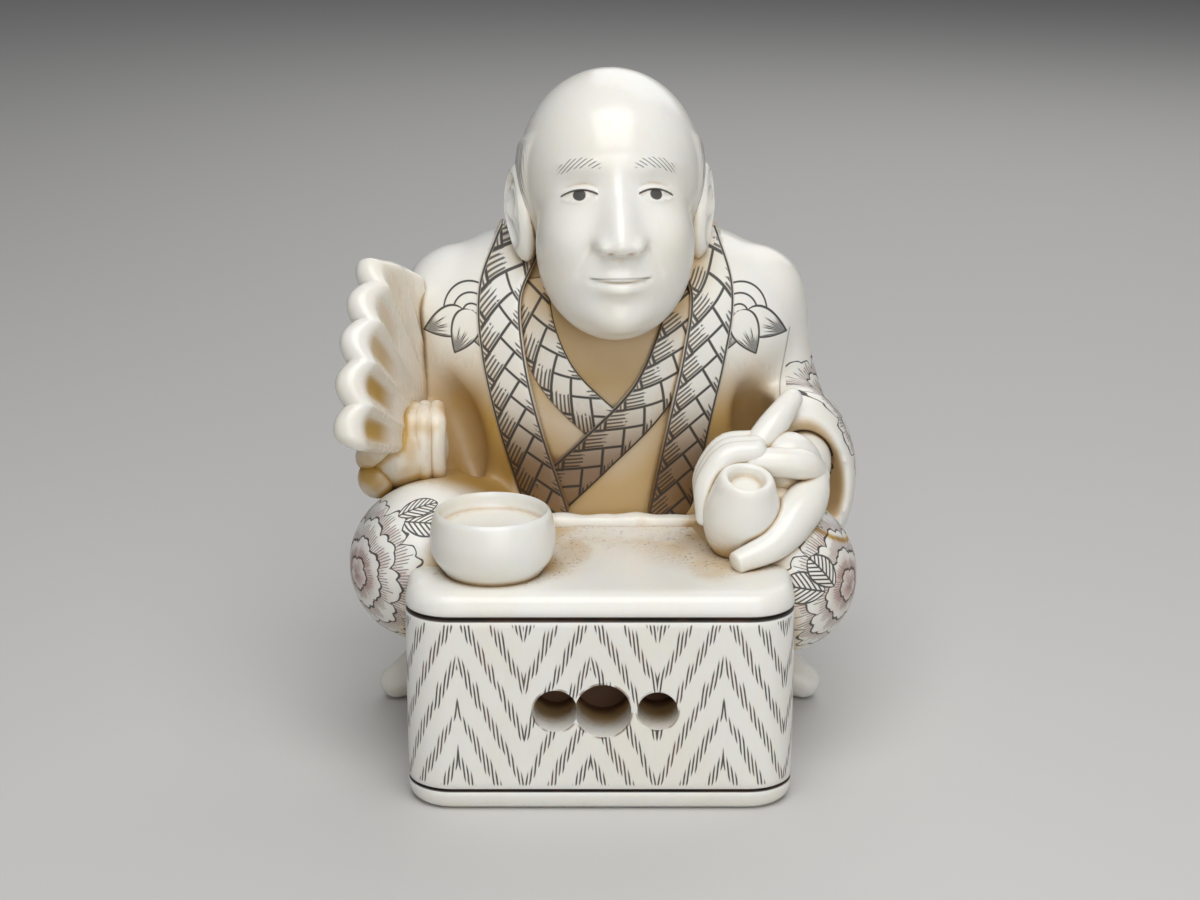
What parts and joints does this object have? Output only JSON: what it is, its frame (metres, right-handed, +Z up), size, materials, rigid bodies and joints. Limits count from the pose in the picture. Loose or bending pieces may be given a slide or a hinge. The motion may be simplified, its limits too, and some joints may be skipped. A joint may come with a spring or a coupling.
{
  "type": "netsuke",
  "caption": "Carved ivory netsuke of a bald figure seated behind a low desk, holding an open fan and a small jar, with a bowl on the desk.",
  "frame": {"origin": "in the flat underside, on the desk's middle plane and below the figure's lap", "axes": "+Z up, the figure faces -Y, and its left hand with the jar is on +X"},
  "size_m": [0.0352, 0.0342, 0.045],
  "materials": {
    "ivory": "polished ivory with ink-stained engraving"
  },
  "bodies": {
    "root": {"netsuke": "ivory"}
  },
  "joints": []
}
